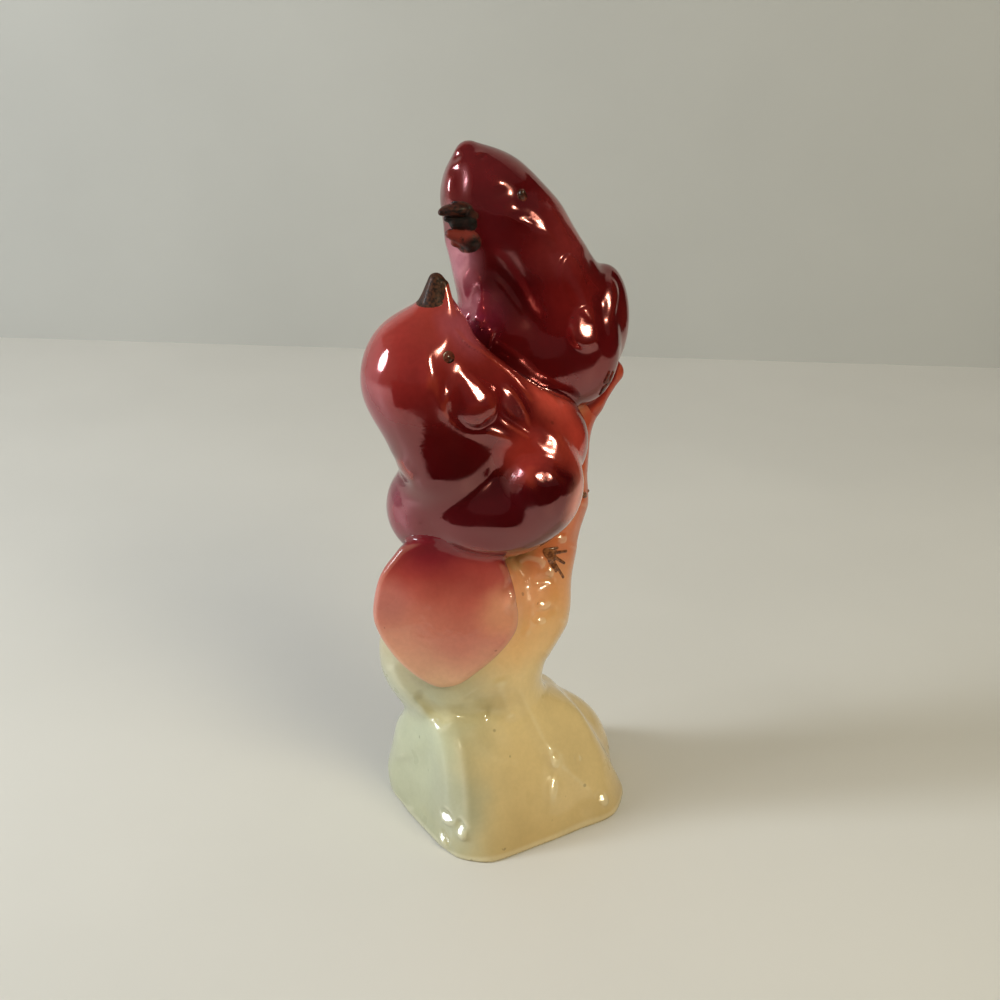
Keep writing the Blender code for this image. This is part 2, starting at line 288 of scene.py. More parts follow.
def along(x, z, line):
    """Distance to a flat line, its side (+ left of travel) and the place along it, 0 to 1."""
    seg = np.hypot(*np.diff(line, axis=0).T)
    total, run = seg.sum(), 0.0
    best = np.full(x.shape, 1e9, F32)
    side, place = np.zeros(x.shape, F32), np.zeros(x.shape, F32)
    for i in range(len(line) - 1):
        ax, az = line[i]
        ux, uz = line[i + 1] - line[i]
        h = np.clip(((x - ax) * ux + (z - az) * uz) / max(ux * ux + uz * uz, 1e-9), 0, 1)
        dx, dz = x - ax - h * ux, z - az - h * uz
        d = np.hypot(dx, dz)
        m = d < best
        best = np.where(m, d, best)
        side = np.where(m, np.sign(uz * dx - ux * dz), side)   # picture places run downwards
        place = np.where(m, (run + h * seg[i]) / total, place)
        run += seg[i]
    return best, side, place


def signed(x, z, ring):
    """Signed distance to a closed flat outline, negative inside."""
    d = np.full(x.shape, 1e9, F32)
    inside = np.zeros(x.shape, bool)
    for i in range(len(ring)):
        ax, az = ring[i]
        bx, bz = ring[(i + 1) % len(ring)]
        ux, uz = bx - ax, bz - az
        h = np.clip(((x - ax) * ux + (z - az) * uz) / max(ux * ux + uz * uz, 1e-9), 0, 1)
        d = np.minimum(d, np.hypot(x - ax - h * ux, z - az - h * uz))
        if az != bz:
            inside ^= ((az > z) != (bz > z)) & (x < (bx - ax) * (z - az) / (bz - az) + ax)
    return np.where(inside, -d, d)


class Marks:
    """Ridges, grooves, swellings and overlapping feathers placed where the picture shows them."""

    def __init__(self):
        self.items = []

    def line(self, pts, width, height, taper=0.2, left=None):
        """A ridge (height > 0) or groove; 'left' is the width of its left side if that differs."""
        path = curve(pts)
        wl = width if left is None else left

        def f(x, z):
            d, s, t = along(x, z, path)
            w = np.where(s > 0, wl, width)
            g = np.exp(-(d / w) ** 2)
            if taper:
                e = np.clip(np.minimum(t, 1 - t) / taper, 0, 1)
                g = g * e * e * (3 - 2 * e)
            return height * g
        self._put(f, path, 2.6 * max(width, wl))
        return self

    def swell(self, c, r, height, turn=0.0):
        cx, cz = c
        co, si = math.cos(math.radians(turn)), math.sin(math.radians(turn))

        def f(x, z):
            a, b = x - cx, z - cz
            q = ((a * co + b * si) / r[0]) ** 2 + ((b * co - a * si) / r[1]) ** 2
            return height * np.exp(-q)
        self._put(f, np.array([c]), 2.4 * max(r))
        return self

    def feather(self, pts, height, edge=1.5, crown=0.0, fade=None):
        """A raised patch with a crisp rim. 'fade' is a direction in which it sinks back in."""
        ring = loop(pts)
        mid = ring.mean(0)
        reach = np.hypot(*(ring - mid).T).max()

        def f(x, z):
            sd = signed(x, z, ring)
            g = 1 / (1 + np.exp(np.clip(sd / edge * 2.2, -30, 30)))
            h = height * g
            if crown:
                h = h + crown * g * np.clip(-sd / reach * 2, 0, 1)
            if fade is not None:
                s = ((x - mid[0]) * fade[0] + (z - mid[1]) * fade[1]) / (np.hypot(*fade) * reach)
                h = h * np.clip(0.5 - 0.5 * s, 0, 1)
            return h
        self._put(f, ring, 3 * edge + 2)
        return self

    def _put(self, f, pts, reach):
        lo, hi = pts.min(0) - reach, pts.max(0) + reach
        self.items.append((f, lo, hi))

    def __call__(self, p):
        u, v = seen(p)
        h = np.zeros(u.shape, F32)
        for f, lo, hi in self.items:
            m = (u > lo[0]) & (u < hi[0]) & (v > lo[1]) & (v < hi[1])
            if m.any():
                h[m] += f(u[m], v[m])
        return h
# ---------------------------------------------------------------- stump
_mound = Form(
    add(plane_sq((-25.0, 0, 3), (-1, 0.0, 0.07))),
    keep(plane_sq((0, -25.2, 3), (0.02, -0.88, 0.47)), 7),
    keep(plane_sq((28, -6, 3), (0.90, -0.06, 0.43)), 8),
    keep(plane_sq((0, 21, 3), (0.05, 0.90, 0.42)), 8),
    keep(plane_sq((0, 0, 30), (0.12, 0, 1)), 9),
    keep(plane_sq((22.5, -21.5, 2), (0.7, -0.7, 0.35)), 5),
    keep(plane_sq((-22.6, -22.8, 2), (-0.7, -0.7, 0.30)), 4),
    keep(plane_sq((-23.0, 16, 3), (-0.75, 0.65, 0.12)), 6),
    add(rod((-20.8, 3.5, 5), (-18.6, 3.0, 16.5), 8.2, 7.6), 5))

stump_marks = Marks()
# roots and creases of the foot
stump_marks.line([(513, 668), (524, 696), (534, 716), (545, 738), (556, 756), (574, 774), (590, 788), (606, 802)], 9, 1.3, 0.25, left=17)
stump_marks.line([(548, 738), (556, 757), (555, 775), (554, 797), (551, 820)], 8, 1.1, 0.3, left=14)
stump_marks.swell((577, 808), (15, 17), -1.0)
stump_marks.swell((586, 762), (12, 16), -0.5)
stump_marks.swell((603, 797), (7, 7), 0.6)
stump_marks.line([(452, 730), (461, 750), (465, 782), (466, 815), (467, 852)], 8, 0.6)
stump_marks.swell((508, 790), (26, 36), 0.6)
stump_marks.line([(470, 722), (482, 744), (500, 760), (530, 764)], 10, 0.5)
stump_marks.swell((487, 740), (16, 14), -0.5)
stump_marks.swell((428, 768), (16, 26), -0.7)
stump_marks.line([(398, 706), (398, 730), (404, 765)], 9, 0.5)
stump_marks.line([(404, 798), (418, 820), (434, 838), (452, 852)], 7, 0.6)
stump_marks.swell((415, 745), (10, 14), 0.4)
# folds on the limb's underside and the waist
stump_marks.line([(386, 655), (396, 680), (412, 702), (432, 720)], 8, 0.7)
stump_marks.line([(416, 690), (432, 708), (450, 726)], 7, -0.5)
stump_marks.line([(498, 676), (506, 700), (514, 724)], 9, 0.7)
stump_marks.line([(470, 692), (480, 706), (492, 712)], 8, -0.5)
stump_marks.line([(541, 660), (556, 640), (566, 612)], 8, 0.4)
# trunk beside the limb: folds that run down from below the birds
stump_marks.line([(526, 574), (531, 596), (531, 622), (524, 645)], 6, 0.5)
stump_marks.line([(515, 565), (527, 559), (540, 561), (549, 570)], 5, 0.6)
stump_marks.line([(530, 583), (541, 581), (553, 577)], 5, -0.6)
stump_marks.swell((541, 603), (11, 9), 0.55)
stump_marks.line([(533, 612), (544, 611), (556, 607)], 4, -0.4)
stump_marks.swell((540, 625), (10, 8), 0.4)
stump_marks.swell((584, 476), (6, 14), 0.5)
stump_marks.line([(588, 505), (580, 522), (572, 548)], 6, -0.5)

LIMB_C = np.array([-13.0, -15.6, 57.0])
LIMB_A = np.array([-0.05, -1.0, 0.08])
LIMB_A = LIMB_A / np.linalg.norm(LIMB_A)


def make_disc():
    """Face of the sawn limb: an uneven round, a little domed, with a soft rim."""
    c, a = LIMB_C, LIMB_A
    ex = np.cross([0, 0, 1.0], a)
    ex /= np.linalg.norm(ex)
    ez = np.cross(a, ex)
    ring = []
    for u, v in [(404, 549), (391, 562), (379, 579), (373, 600), (372, 620), (378, 636), (389, 652),
                 (401, 665), (418, 678), (434, 686), (447, 687), (461, 683), (477, 672), (492, 660),
                 (506, 646), (516, 631), (518, 617), (515, 600), (511, 582), (500, 560), (470, 540),
                 (435, 540)]:
        q = P(u, v, -17.6) - c
        ring.append([q @ ex, q @ ez])
    ring = loop(ring)
    mid = ring.mean(0)
    c32, a32, x32, z32 = (v.astype(F32) for v in (c, a, ex, ez))
    rim, half = 1.5, 2.0

    def f(p):
        q = p - c32
        h, x, z = q @ a32, q @ x32, q @ z32
        sd = signed(x, z, ring)
        r = np.clip(np.hypot(x - mid[0], z - mid[1]) / 17.0, 0, 1)
        dome = np.where(h > 0, 0.9, 0) * (1 - r * r)
        dome = dome + np.where(h > 0, 0.35, 0) * np.exp(-((x + 4) / 5) ** 2 - ((z - 9) / 6) ** 2)
        dx = sd + rim
        dy = np.abs(h) - (half - rim) - dome
        return (np.minimum(np.maximum(dx, dy), 0)
                + np.sqrt(np.maximum(dx, 0) ** 2 + np.maximum(dy, 0) ** 2) - rim)
    return f


disc = Form(add(make_disc()))
disc.lean(511, 594, 3.0, 1.5, 92, LAMP, 0.3, 1.4)
_limb_front = plane((-13.0, -15.6, 57.0), (-0.05, -1.0, 0.08))
_limb_room = ball((-13, -24, 57), (24, 14, 24))
_stump = Form(
    add(_mound),
    add(rod((0, -1, 20), (0, 0, 46), 10.5, 9.5), 8),
    add(rod(P(530, 705, 12), P(578, 745, 18), 7, 6.5), 7),
    add(ball(square(19, 3, 3), (14, 15, 17), 30), 6),
    add(rod(P(478, 648, 0), P(525, 605, 4), 16, 10.5), 5),
    add(rod(P(525, 605, 4), P(553, 500, 8), 10, 8), 6),
    add(rod(P(553, 500, 8), P(562, 425, 13), 8, 7), 4),
    add(ball(P(452, 648, -3), (18, 15, 18)), 5),
    add(rod((-12.5, -9, 57), (-7, 3, 53), 16.0, 16.0), 4),
    marks=stump_marks, facing=plane((0, 4, 50), (-0.1, 1, 0)))
_stump.lean(555, 760, 1.7, 1.0, 86, LAMP, 0.5, 1.6).lean(553, 783, 3.2, 1.4, 92, LAMP, 0.8, 2.0)
_stump.lean(603, 799, 1.8, 1.3, 45, LAMP, 0.8, 2.0).lean(578, 758, 1.0, 1.0, 0, LAMP, 0.8, 1.6)
_stump.lean(561, 537, 1.6, 1.2, 30, LAMP, 0.6, 1.6).lean(549, 569, 1.3, 1.8, 0, LAMP, 0.6, 1.6)
_stump.lean(543, 605, 2.0, 1.2, 10, LAMP, 0.8, 2.0).lean(539, 620, 1.8, 1.0, 5, LAMP, 0.8, 2.0)
_stump.lean(446, 817, 2.7, 1.5, 12, WINDOW, 0.95, 3.0).lean(461, 830, 2.4, 1.4, 70, WINDOW, 0.95, 3.0)
_stump.lean(444, 838, 2.4, 1.5, 35, WINDOW, 0.95, 3.0)


def stump(p):
    d = _stump(p)
    d = smax(d, -np.maximum(-_limb_front(p), _limb_room(p)), 3.0)      # sawn face
    hollow = np.maximum(_mound(p) + 3.6, p[..., 2] - 20)
    d = smax(d, -hollow, 2.0)                                         # open foot
    return smax(d, -p[..., 2], 0.9)


twig = Form(add(rod(P(566, 430, 12), P(590, 402, 14), 5, 3.2)),
            add(rod(P(590, 402, 14), P(614, 374, 17), 3.2, 1.9), 2),
            add(ball(P(614, 371, 17), (2.3, 2.3, 2.6)), 1.5))

# ---------------------------------------------------------------- lower bird
a_marks = Marks()
a_marks.line([(452, 322), (459, 334), (469, 344), (480, 351), (491, 359), (503, 369), (514, 379), (524, 391), (531, 403), (534, 412)],
             1.8, 0.45, 0.15, left=7)
a_marks.line([(474, 338), (492, 350), (508, 362), (522, 377), (534, 393), (541, 407)], 5, -0.5, 0.3)
a_marks.line([(424, 338), (428, 352), (431, 366), (434, 381), (439, 398), (448, 414), (462, 426), (478, 431), (494, 433), (508, 439), (522, 447)],
             7, 0.5, 0.2)
a_marks.line([(443, 366), (443, 384), (446, 402), (454, 417), (468, 427), (484, 428), (495, 418)], 4, -0.4, 0.3)
a_marks.line([(496, 385), (505, 387), (513, 393), (520, 403), (526, 417), (532, 434)], 3, 0.45, 0.3, left=5)
a_marks.line([(500, 398), (502, 412), (512, 421), (523, 429), (533, 437)], 3.5, -0.45, 0.3)
a_marks.line([(498, 420), (510, 427), (522, 433), (534, 442)], 4, 0.4, 0.3)
a_marks.line([(540, 386), (552, 395), (563, 408)], 4, 0.4, 0.3)
a_marks.swell((556, 440), (16, 15), 0.6)
a_marks.swell((538, 477), (20, 18), 0.4)
a_marks.line([(512, 456), (530, 457), (550, 460), (566, 470), (580, 483)], 8, -0.8, 0.3)
a_marks.line([(386, 452), (394, 466), (403, 479), (414, 490)], 4, -0.8, 0.3)
a_marks.line([(397, 456), (405, 470), (416, 481)], 6, 0.4, 0.3)
a_marks.swell((392, 505), (7, 20), 0.3)

lower = Form(
    add(ball(P(419, 375, -8), (12.8, 13, 15.0))),
    add(rod(P(434, 337, -8), P(438, 302, -8), 8.3, 3.2), 4),
    add(rod(P(421, 383, -8.2), P(449, 455, -8.4), 12.4, 12), 5),
    add(rod(P(452, 385, -7), P(515, 437, -4), 11.5, 12.5), 5),
    add(ball(P(538, 483, -9), (10.6, 12.5, 12.6)), 4),
    add(ball(P(548, 440, 2), (9.5, 11, 11.5)), 4),
    add(ball(P(437, 505, -3.5), (12.0, 12, 12.5)), 6),
    add(rod(P(453, 468, -8), P(460, 522, -5.2), 10.3, 10.8), 5),
    add(ball(P(490, 480, 4), (18, 15, 16)), 4),
    add(ball(P(495, 505, -7), (16.8, 14.5, 12.0)), 4),
    add(rod(P(455, 369, -16.4), P(474, 403, -14.8), 1.7, 5.8), 1.0),      # cheek drop
    add(rod(P(444, 285, -9.0), P(450, 316, -11.0), 1.1, 1.5), 1.2),        # edge along the beak
    marks=a_marks, facing=plane((-15, -6, 100), (-0.25, 1, 0)))
# where the glaze catches the table, the lamp and the window
lower.lean(485, 545, 7, 3, 0, (-10, -120, 0), 0).lean(440, 339, 3.0, 3.0, 0, DIM, 0)
lower.lean(431, 368, 1.4, 4.0, 8, LAMP, 0.7).lean(446, 391, 0.9, 3.0, 0, LAMP, 0.7).lean(478, 389, 1.3, 3.8, -33, LAMP, 0.7)
lower.lean(459, 366, 1.0, 1.0, 0, LAMP).lean(505, 391, 2.8, 1.2, 40, LAMP, 0.7).lean(499, 432, 2.6, 1.3, 25, LAMP, 0.5)
lower.lean(554, 441, 2.6, 2.2, 0, LAMP, 0.35).lean(537, 476, 2.4, 2.8, -20, LAMP, 0.35)
lower.lean(385, 358, 1.5, 2.6, 15, WINDOW)

lower_beak = Form(
    add(rod(P(433.0, 302, -8.5), P(436.0, 280.5, -8.5), 3.0, 1.75)),
    add(rod(P(444, 300, -8.8), P(440, 280, -8.5), 1.2, 0.9), 0.6))

# ---------------------------------------------------------------- upper bird
b_marks = Marks()
b_marks.line([(466, 146), (469, 165), (469, 188), (466, 206)], 9, 0.4, 0.3)
b_marks.swell((500, 184), (16, 11), 0.6, 25)
b_marks.swell((521, 197), (9, 8), -0.35)
b_marks.line([(484, 214), (498, 213), (513, 216), (528, 219), (542, 227), (554, 238), (562, 252)], 11, 0.5, 0.3, left=16)
b_marks.line([(544, 200), (555, 213), (562, 225), (568, 240), (576, 258)], 4, 0.35, 0.3)
b_marks.line([(584, 246), (590, 262), (594, 282)], 4, -0.4, 0.3)
b_marks.feather([(560, 266), (568, 254), (577, 260), (585, 279), (592, 303), (583, 305), (571, 303), (561, 288)],
                0.7, 1.6, fade=(0.3, 0.9))
b_marks.feather([(581, 309), (594, 308), (594, 322), (586, 317)], 0.5, 1.6)
b_marks.swell((610, 297), (10, 22), 0.6, -8)
b_marks.swell((586, 333), (13, 14), 0.9)
b_marks.line([(592, 284), (598, 306), (604, 332), (608, 350)], 6, -0.8, 0.3)
b_marks.line([(490, 272), (498, 281), (505, 289), (511, 297), (519, 309), (522, 319)], 1.8, 0.22, 0.25, left=3)
b_marks.line([(468, 312), (465, 326), (470, 338), (478, 346)], 1.8, 0.5, 0.2)
b_marks.line([(496, 328), (492, 336), (489, 345), (489, 353)], 1.8, 0.5, 0.2)
b_marks.swell((480.5, 326), (3, 3), 0.5)
b_marks.line([(472, 316), (480, 321), (490, 322)], 1.8, 0.35, 0.2)

upper = Form(
    add(ball(P(503, 213, 12), (16.5, 10.5, 11.2), 0, -52)),
    add(rod(P(488, 190, 12), P(468, 153, 12), 7.5, 2.6), 5),
    add(ball(P(470, 203, 12), (6.2, 8, 9.5)), 5),
    add(rod(P(525, 235, 12), P(560, 300, 14), 10.5, 12), 5),
    add(ball(P(604, 318, 17), (6, 8, 13)), 4),
    add(ball(P(582, 345, 10), (9, 9, 14)), 3),
    add(rod(P(474, 240, 10), P(504, 330, 10), 6.5, 9), 5),
    add(ball(P(545, 355, 14), (15, 13, 14)), 5),
    add(ball(P(482, 335, 11), (8.5, 9, 9)), 4),
    add(ball(P(473, 224, 7.2), (3.6, 4.0, 6.5)), 2.5),                    # root of the bill
    marks=b_marks, facing=plane((0, 12, 130), (-0.1, 1, 0)))
upper.lean(460, 262, 3.0, 6.0, -10, (-700, 200, 130), 0).lean(476, 298, 3.0, 6.0, -20, (-700, 200, 130), 0)
upper.lean(507, 200, 2.8, 2.8, 0, DIM, 0)
upper.lean(543, 228, 4.0, 1.3, 38, LAMP, 0.6).lean(522, 219, 2.8, 1.0, 14, LAMP, 0.5)
upper.lean(610, 298, 2.4, 4.4, 5, LAMP, 0.85, 1.6).lean(586, 332, 3.2, 3.4, 0, LAMP, 0.85, 1.6).lean(481, 155, 0.9, 0.9, 0, LAMP)
upper.lean(455, 184, 3.0, 4.4, 0, place(-40, 34, 800), 0).lean(457, 154, 1.0, 1.2, 0, WINDOW).lean(456, 167, 1.5, 0.9, -30, WINDOW)

bill_upper = Form(
    add(rod(P(468, 211, 4.0), P(441, 212.6, 2.4), 1.35, 0.7)),
    add(ball(P(455, 209.3, 3.2), (3.5, 2.0, 1.3), 0, 4), 1.0),
    add(ball(P(474, 214.5, 3.4), (1.1, 1.1, 0.9)), 0.8))
bill_lower = Form(
    add(rod(P(471, 239, 4.6), P(450, 234, 3.8), 2.6, 1.1)),
    add(rod(P(470, 247, 5.2), P(455, 242.5, 4.6), 1.2, 1.0), 1.0))
bill_mouth = Form(
    add(rod(P(470, 221.5, 3.9), P(447, 218.5, 3.7), 1.8, 0.8)),
    add(rod(P(470, 223, 3.9), P(455, 223.5, 3.7), 1.5, 1.3), 0.8))


def bead(c, r):
    return ball(c, (r, r, r))


lower_eye_l = bead(P(446.8, 357.5, -16.9), 1.4)
lower_eye_r = bead(np.array([-11.3, 2.2, 121.5]), 1.4)
upper_eye_l = Form(add(ball(P(522, 195.5, 3.8), (0.95, 1.0, 1.55), 0, 0, 15)))
upper_eye_r = bead(np.array([-7.4, 21.2, 152.7]), 1.2)


# ---------------------------------------------------------------- tails and backs
def tail(root, tip, wide, thick, rolls):
    """Closed fan of feathers from root to tip."""
    root, tip = np.asarray(root, float), np.asarray(tip, float)
    d = tip - root
    heading = math.degrees(math.atan2(d[1], d[0]))
    climb = math.degrees(math.atan2(d[2], np.hypot(d[0], d[1])))
    steps = []
    m = axes(heading, climb)
    for i, s in enumerate(rolls):
        side = m[:, 1] * s * wide
        a = root + side * 0.35
        b = tip + side - d * 0.10 * abs(s)
        mid, half = (a + b) / 2, np.linalg.norm(b - a) / 2
        h2 = math.degrees(math.atan2((b - a)[1], (b - a)[0]))
        c2 = math.degrees(math.atan2((b - a)[2], np.hypot((b - a)[0], (b - a)[1])))
        steps.append(add(ball(mid - m[:, 2] * 0.5 * abs(s), (half, wide * 0.42, thick), h2, c2), 1.2))
    return Form(*steps)


lower_tail = tail((-15.5, 6, 84), (-22, 29, 60), 5.2, 3.4, (-1.0, -0.5, 0.0, 0.5, 1.0))
upper_tail = tail((4.5, 20, 121), (-3.5, 41, 98.5), 5.0, 3.2, (-1.0, -0.5, 0.0, 0.5, 1.0))
# ---------------------------------------------------------------- meshes from the fields
def skin(fn, lo, hi, h, block=8, project=2):
    """Closed quad mesh of fn = 0 inside the box lo..hi, at grain h."""
    lo, hi = np.asarray(lo, float), np.asarray(hi, float)
    lo = np.floor(lo / h) * h
    nb = np.ceil((hi - lo) / h / block).astype(int)
    side = block * h
    centres = [lo[i] + (np.arange(nb[i]) + 0.5) * side for i in range(3)]
    coarse = np.stack(np.meshgrid(*centres, indexing="ij"), -1).reshape(-1, 3).astype(F32)
    dc = fn(coarse)
    near = np.abs(dc) < side * 1.25
    D = np.repeat(np.repeat(np.repeat(dc.reshape(nb), block, 0), block, 1), block, 2).astype(F32)
    D = np.pad(D, ((0, 1),) * 3, mode="edge")
    cells = np.argwhere(near.reshape(nb))
    local = np.stack(np.meshgrid(*(np.arange(block + 1),) * 3, indexing="ij"), -1).reshape(-1, 3)
    for s0 in range(0, len(cells), 300):
        at = (cells[s0:s0 + 300] * block)[:, None, :] + local[None]
        v = fn((lo + at * h).astype(F32).reshape(-1, 3))
        at = at.reshape(-1, 3)
        D[at[:, 0], at[:, 1], at[:, 2]] = v
    inside = D < 0
    # a lone grid point is a speck or a pinhole, not a shape
    around = np.zeros(D.shape, np.int8)
    for ax in range(3):
        s0, s1 = [slice(None)] * 3, [slice(None)] * 3
        s0[ax], s1[ax] = slice(0, -1), slice(1, None)
        around[tuple(s0)] += inside[tuple(s1)]
        around[tuple(s1)] += inside[tuple(s0)]
    D[inside & (around == 0)] = 0.05 * h
    D[~inside & (around == 6)] = -0.05 * h
    inside = D < 0
    N = np.array(D.shape)
    ids, places, quads = [], [], []
    for ax in range(3):
        s0, s1 = [slice(None)] * 3, [slice(None)] * 3
        s0[ax], s1[ax] = slice(0, -1), slice(1, None)
        a, b = D[tuple(s0)], D[tuple(s1)]
        change = inside[tuple(s0)] != inside[tuple(s1)]
        e = np.argwhere(change)
        if len(e) == 0:
            continue
        va, vb = a[change], b[change]
        at = e.astype(F32)
        at[:, ax] += va / (va - vb)
        o = [i for i in range(3) if i != ax]
        ring = []
        for d0, d1 in ((0, 0), (-1, 0), (-1, -1), (0, -1)):
            c = e.copy()
            c[:, o[0]] += d0
            c[:, o[1]] += d1
            ring.append((c[:, 0] * N[1] + c[:, 1]) * N[2] + c[:, 2])
            ids.append(ring[-1])
            places.append(at)
        q = np.stack(ring, 1)
        turn = (va < 0) if ax != 1 else (va >= 0)
        quads.append(np.where(turn[:, None], q, q[:, ::-1]))
    ids, places, quads = np.concatenate(ids), np.concatenate(places), np.concatenate(quads)
    u, inv = np.unique(ids, return_inverse=True)
    n = np.bincount(inv).astype(float)
    V = np.stack([np.bincount(inv, weights=places[:, i]) / n for i in range(3)], 1)
    V = (lo + V * h).astype(F32)
    for _ in range(project):
        d, g = fn(V), slope(fn, V)
        step = (d / np.maximum((g * g).sum(1), 0.05))[:, None] * g
        length = np.sqrt((step * step).sum(1, keepdims=True))
        V = V - step * np.minimum(1, 0.5 * h / np.maximum(length, 1e-9))
    return V, np.searchsorted(u, quads)
# ---------------------------------------------------------------- pieces
MM = 0.001
GRAIN = 0.5 if FINE else 0.8
LAP = 1.6                                   # neighbouring pieces overlap by this much, hidden


def world(v):
    """Layout millimetres to the figure's own frame, metres."""
    c, s = math.cos(TURN), math.sin(TURN)
    x = v[..., 0] * c - v[..., 1] * s + SHIFT[0]
    y = v[..., 0] * s + v[..., 1] * c + SHIFT[1]
    return np.stack([x, y, v[..., 2]], -1) * MM


def bonded(own, *others):
    """own, trimmed inside its neighbours, with a soft glaze fillet running up onto them."""
    def f(p):
        o = own(p)
        d = o
        for other, k in others:
            e = other(p)
            d = np.maximum(np.maximum(smin(d, e, k), -(e + LAP)), o - 0.7 * k)
        return d
    return f


def shared(own, other, k, over):
    """own's side of one smooth skin drawn over own and other; the under side runs on beneath the over side."""
    def f(p):
        o, e = own(p), other(p)
        u, s = smin(o, e, k), o - e
        if over:
            return np.maximum(u, s)
        return np.maximum(u + 0.12 * np.clip(s / 0.4, 0, 1), s - LAP)
    return f


def whole(p):
    d = smin(stump(p), disc(p), 1.4)
    d = smin(d, lower(p), 2.5)
    d = smin(d, upper(p), 2.0)
    d = smin(d, twig(p), 2.0)
    d = smin(d, lower_tail(p), 2.5)
    return smin(d, upper_tail(p), 2.5)


def relief(v, reach=1.3):
    """How ridged (+) or hollowed (-) the surface is at each vertex, about -1 to 1."""
    n = slope(whole, v, 0.2)
    n /= np.maximum(np.linalg.norm(n, axis=1, keepdims=True), 1e-6)
    lap = -6 * whole(v)
    for i in range(3):
        for s in (-reach, reach):
            q = v.copy()
            q[:, i] += s
            lap += whole(q)
    curve_ = lap / reach ** 2                # 1/mm, twice the mean curvature
    crease = whole((v + n * 3.0).astype(F32)) / 3.0
    return np.clip(curve_ * 1.6, -1, 1), np.clip((1 - crease) * 1.5, 0, 1)


PIECES = {}


def scraps_off(v, q, share=0.02):
    """The mesh without the scraps that hold under this share of its faces."""
    mark = np.arange(len(v))
    while True:
        low, nxt = mark[q].min(1), mark.copy()
        for k in range(4):
            np.minimum.at(nxt, q[:, k], low)
        nxt = nxt[nxt]
        if (nxt == mark).all():
            break
        mark = nxt
    _, which, count = np.unique(mark[q[:, 0]], return_inverse=True, return_counts=True)
    q = q[count[which] >= share * len(q)]
    used, back = np.unique(q, return_inverse=True)
    return v[used], back.reshape(q.shape)


def piece(name, fn, lo, hi, node, slot, material, grain=None, shaded=True):
    v, q = scraps_off(*skin(fn, lo, hi, grain or GRAIN))
    me = bpy.data.meshes.new(name)
    me.vertices.add(len(v))
    me.vertices.foreach_set("co", world(v).astype(F32).ravel())
    me.loops.add(len(q) * 4)
    me.loops.foreach_set("vertex_index", q.astype(np.int32).ravel())
    me.polygons.add(len(q))
    me.polygons.foreach_set("loop_start", np.arange(0, len(q) * 4, 4, dtype=np.int32))
    me.update(calc_edges=True)
    me.validate()
    me.shade_smooth()
    if shaded:
        ridge, pool = relief(v)
        for key, data in (("ridge", ridge), ("pool", pool)):
            att = me.attributes.new(key, "FLOAT", "POINT")
            att.data.foreach_set("value", data.astype(F32))
    ob = bpy.data.objects.new(name, me)
    bpy.context.scene.collection.objects.link(ob)
    me.materials.append(material)
    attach(ob, "root")
    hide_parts(node)
    PIECES[name] = ob
    return ob


# ---------------------------------------------------------------- materials
def srgb(r, g, b):
    return tuple(((c / 255) / 12.92 if c / 255 <= 0.04045 else ((c / 255 + 0.055) / 1.055) ** 2.4)
                 for c in (r, g, b)) + (1.0,)


